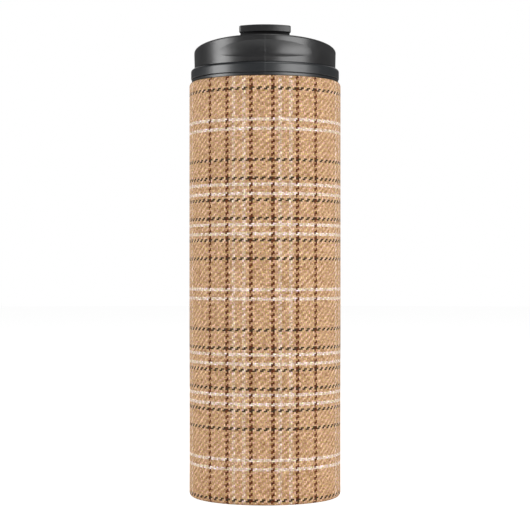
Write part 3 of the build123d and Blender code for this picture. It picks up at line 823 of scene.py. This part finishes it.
class FLASK_OT_finish_vessel(Operator):
    """Finishes the steel walls and what is sealed between them"""

    bl_idname = "flask.finish_vessel"
    bl_label = "Finish the vessel"

    def execute(self, context):
        vessel = context.scene.flask_vessel
        outside = spun_steel("spun_steel_outside", vessel, roughness=0.34)
        inside = spun_steel("spun_steel_inside", vessel, roughness=0.28)
        for node, material in (
            ("outer_shell", outside),
            ("base_plate", outside),
            ("getter_strap", outside),
            ("liner_wall", inside),
            ("liner_bottom", inside),
            ("foil_shield", crinkled_foil(vessel)),
            ("getter_pellet", sintered_getter(vessel)),
            ("seal_bead", solder_glass(vessel)),
        ):
            dress(node, material)
        return {"FINISHED"}


class FLASK_OT_finish_foot(Operator):
    """Finishes the rubber foot pad"""

    bl_idname = "flask.finish_foot"
    bl_label = "Finish the foot pad"

    def execute(self, context):
        dress("foot_pad", foot_rubber(context.scene.flask_vessel))
        return {"FINISHED"}


class FLASK_OT_finish_lid(Operator):
    """Finishes the cap and the collar"""

    bl_idname = "flask.finish_lid"
    bl_label = "Finish the lid"

    def execute(self, context):
        lid = context.scene.flask_lid
        cap = charcoal_moulding("cap_charcoal", lid.cap, lid, roughness=0.32, parting=PARTING_SHADE)
        collar = charcoal_moulding("collar_charcoal", lid.collar, lid, roughness=0.34, parting=PARTING_SHADE)
        dress("lid_cap", cap)
        dress("lid_collar", collar)
        return {"FINISHED"}


class FLASK_OT_finish_plug(Operator):
    """Finishes the screw plug, its drink channel and the gasket"""

    bl_idname = "flask.finish_plug"
    bl_label = "Finish the plug"

    def execute(self, context):
        lid = context.scene.flask_lid
        black = charcoal_moulding("plug_black", lid.plug, lid, roughness=0.46, grain_depth=COARSE_GRAIN)
        dress("lid_plug", black)
        dress("drink_channel", black)
        dress("lid_gasket", dark_silicone(lid))
        return {"FINISHED"}


class FLASK_OT_finish_lever(Operator):
    """Finishes the flip lever, its pin and its seals"""

    bl_idname = "flask.finish_lever"
    bl_label = "Finish the lever"

    def execute(self, context):
        lid = context.scene.flask_lid
        black = charcoal_moulding("lever_black", lid.lever, lid, roughness=0.32)
        dress("lever_cover", black)
        dress("lever_body", black)
        dress("hinge_pin", spun_steel("pin_steel", context.scene.flask_vessel, roughness=0.3))
        silicone = dark_silicone(lid)
        dress("sip_seal", silicone)
        dress("vent_seal", silicone)
        return {"FINISHED"}


class FLASK_OT_set_stage(Operator):
    """Sets out the floor, the softboxes and the camera"""

    bl_idname = "flask.set_stage"
    bl_label = "Set the stage"

    def execute(self, context):
        stage = context.scene.flask_stage
        self.lay_floor(stage.table_glow)
        middle = Vector((0, 0, CAD_BOX[1][2] / 2))
        for name, (azimuth, distance, height, size) in SOFTBOXES.items():
            watts = getattr(stage, name + "_power")
            self.hang_softbox(name + "_softbox", azimuth, distance, height, size, watts, middle)
        self.light_sky(context.scene, stage.sky)
        self.set_camera(context.scene, stage)
        return {"FINISHED"}

    def lay_floor(self, glow):
        """A wide round table top under the flask."""
        shape = bmesh.new()
        bmesh.ops.create_circle(shape, cap_ends=True, segments=TABLE_SIDES, radius=TABLE_RADIUS)
        mesh = bpy.data.meshes.new("table_top")
        shape.to_mesh(mesh)
        shape.free()
        mesh.materials.append(pale_floor(glow))
        new_object("table_top", mesh)

    def hang_softbox(self, name, azimuth, distance, height, size, watts, target):
        """An area light at an azimuth from the camera's side of the flask, turned to face it."""
        light = bpy.data.lights.new(name, "AREA")
        light.shape = "RECTANGLE"
        light.size, light.size_y = size
        light.energy = watts
        turn = math.radians(azimuth)
        box = new_object(name, light)
        box.location = (distance * math.sin(turn), -distance * math.cos(turn), height)
        box.rotation_euler = (target - box.location).to_track_quat("-Z", "Y").to_euler()

    def light_sky(self, scene, strength):
        """Even light all round, and a plain white backdrop for the picture."""
        world = bpy.data.worlds.new("even_sky")
        world.use_nodes = True
        tree = world.node_tree
        backdrop = {"Color": WHITE, "Strength": seen_directly(tree, strength, 1.0)}
        set_inputs(tree, tree.nodes["Background"], backdrop)
        scene.world = world
        scene.view_settings.view_transform = "Standard"

    def set_camera(self, scene, stage):
        """The camera, in front of the drinking side."""
        lens = bpy.data.cameras.new("camera")
        lens.lens = stage.lens
        lens.sensor_width = SENSOR_WIDTH_MM
        camera = new_object("camera", lens)
        camera.location = (0.0, -stage.camera_distance, stage.camera_height)
        camera.rotation_euler = (math.pi / 2 + stage.pitch, 0.0, 0.0)
        scene.camera = camera


SETTINGS = {
    "flask_wrap": FlaskWrapSettings,
    "flask_lid": FlaskLidSettings,
    "flask_vessel": FlaskVesselSettings,
    "flask_stage": FlaskStageSettings,
}
STEPS = (
    FLASK_OT_wrap_body,
    FLASK_OT_finish_vessel,
    FLASK_OT_finish_foot,
    FLASK_OT_finish_lid,
    FLASK_OT_finish_plug,
    FLASK_OT_finish_lever,
    FLASK_OT_set_stage,
)


class FLASK_PT_looks(Panel):
    """Lists the steps that give the flask its looks"""

    bl_idname = "FLASK_PT_looks"
    bl_label = "Flask looks"
    bl_space_type = "VIEW_3D"
    bl_region_type = "UI"
    bl_category = "Flask"

    def draw(self, context):
        for step in STEPS:
            self.layout.operator(step.bl_idname)
        for name in SETTINGS:
            box = self.layout.box()
            group = getattr(context.scene, name)
            for key in group.__annotations__:
                box.prop(group, key)


def register():
    for cls in (*SETTINGS.values(), *STEPS, FLASK_PT_looks):
        bpy.utils.register_class(cls)
    for name, group in SETTINGS.items():
        setattr(bpy.types.Scene, name, PointerProperty(type=group))


def unregister():
    for name in SETTINGS:
        delattr(bpy.types.Scene, name)
    for cls in (FLASK_PT_looks, *reversed(STEPS), *reversed(SETTINGS.values())):
        bpy.utils.unregister_class(cls)


def main():
    """Registers the add-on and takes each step."""
    register()
    for step in STEPS:
        section, action = step.bl_idname.split(".")
        getattr(getattr(bpy.ops, section), action)()


if __name__ == "__main__":
    main()
